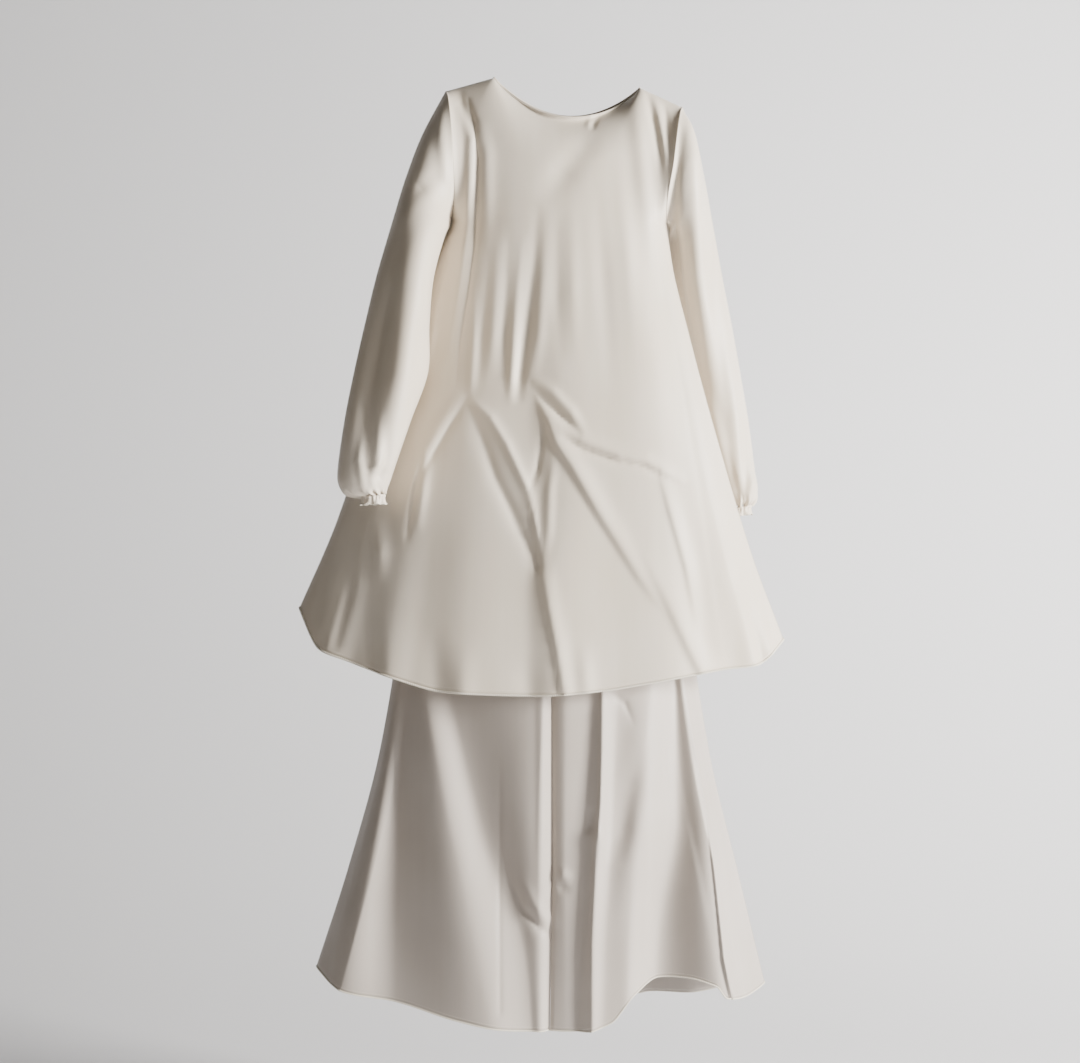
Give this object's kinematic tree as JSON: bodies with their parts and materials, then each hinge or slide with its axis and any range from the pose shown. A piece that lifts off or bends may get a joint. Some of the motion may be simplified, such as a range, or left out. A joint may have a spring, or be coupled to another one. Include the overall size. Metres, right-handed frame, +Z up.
{
  "type": "baju kurung with long skirt",
  "caption": "Loose long-sleeved tunic with a round neck and a curved flared hem, over a long flared skirt, hanging open and empty.",
  "frame": {"origin": "midway between the two neck points, which are the inner ends of the shoulder seams, where the hanging garment is held", "axes": "+Z up; -Y is the wearer's front; +X is the wearer's left"},
  "size_m": [0.728, 0.2505, 1.4103],
  "materials": {
    "tunic_cloth": "satin crepe, pale ivory beige",
    "skirt_cloth": "satin crepe, pale silver beige",
    "trim": "rolled and overlocked edges, cream thread"
  },
  "bodies": {
    "root": {"tunic_front": "tunic_cloth", "tunic_back": "tunic_cloth", "sleeve_right": "tunic_cloth", "sleeve_left": "tunic_cloth", "cuff_right": "trim", "cuff_left": "trim", "neck_binding": "trim", "skirt_front_right": "skirt_cloth", "skirt_front_left": "skirt_cloth", "skirt_back_right": "skirt_cloth", "skirt_back_left": "skirt_cloth", "waistband": "skirt_cloth"}
  },
  "joints": []
}
